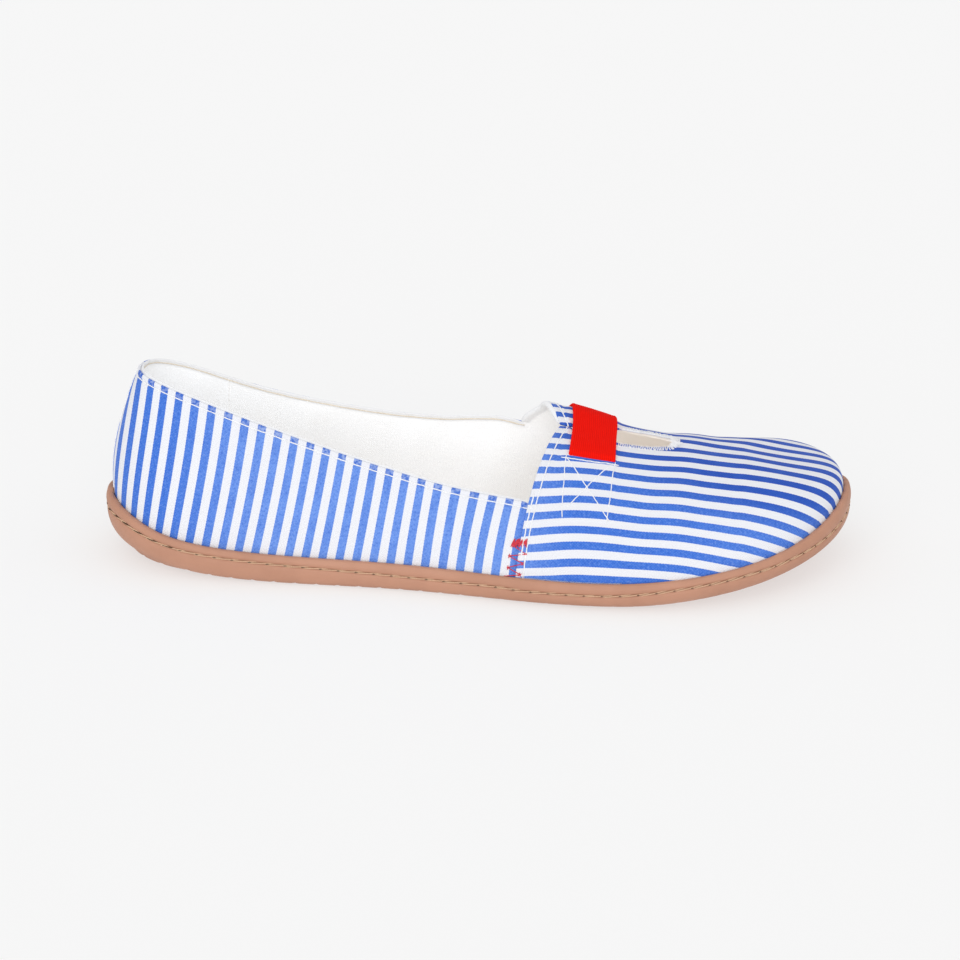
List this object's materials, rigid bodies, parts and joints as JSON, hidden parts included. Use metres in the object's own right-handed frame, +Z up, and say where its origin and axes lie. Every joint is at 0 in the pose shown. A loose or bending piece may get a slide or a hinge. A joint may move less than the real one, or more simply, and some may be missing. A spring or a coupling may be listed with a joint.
{
  "type": "ballet flat",
  "caption": "Right ballet flat: striped canvas upper with a slit, keyhole vamp held by a red elastic, on a flat stitched rubber cupsole.",
  "frame": {"origin": "on the ground, under the middle of the sole's length and width", "axes": "+X toward the toe, +Y toward the inner (medial) side, +Z up"},
  "size_m": [0.256, 0.0946, 0.0673],
  "materials": {
    "rubber": "matt moulded, tan",
    "footbed": "felted, beige",
    "canvas": "plain weave, blue and white stripes on a white lining",
    "red_elastic": "fine ribbed elastic"
  },
  "bodies": {
    "root": {"outsole": "rubber", "insole": "footbed", "upper": "canvas", "elastic_band": "red_elastic"}
  },
  "joints": []
}
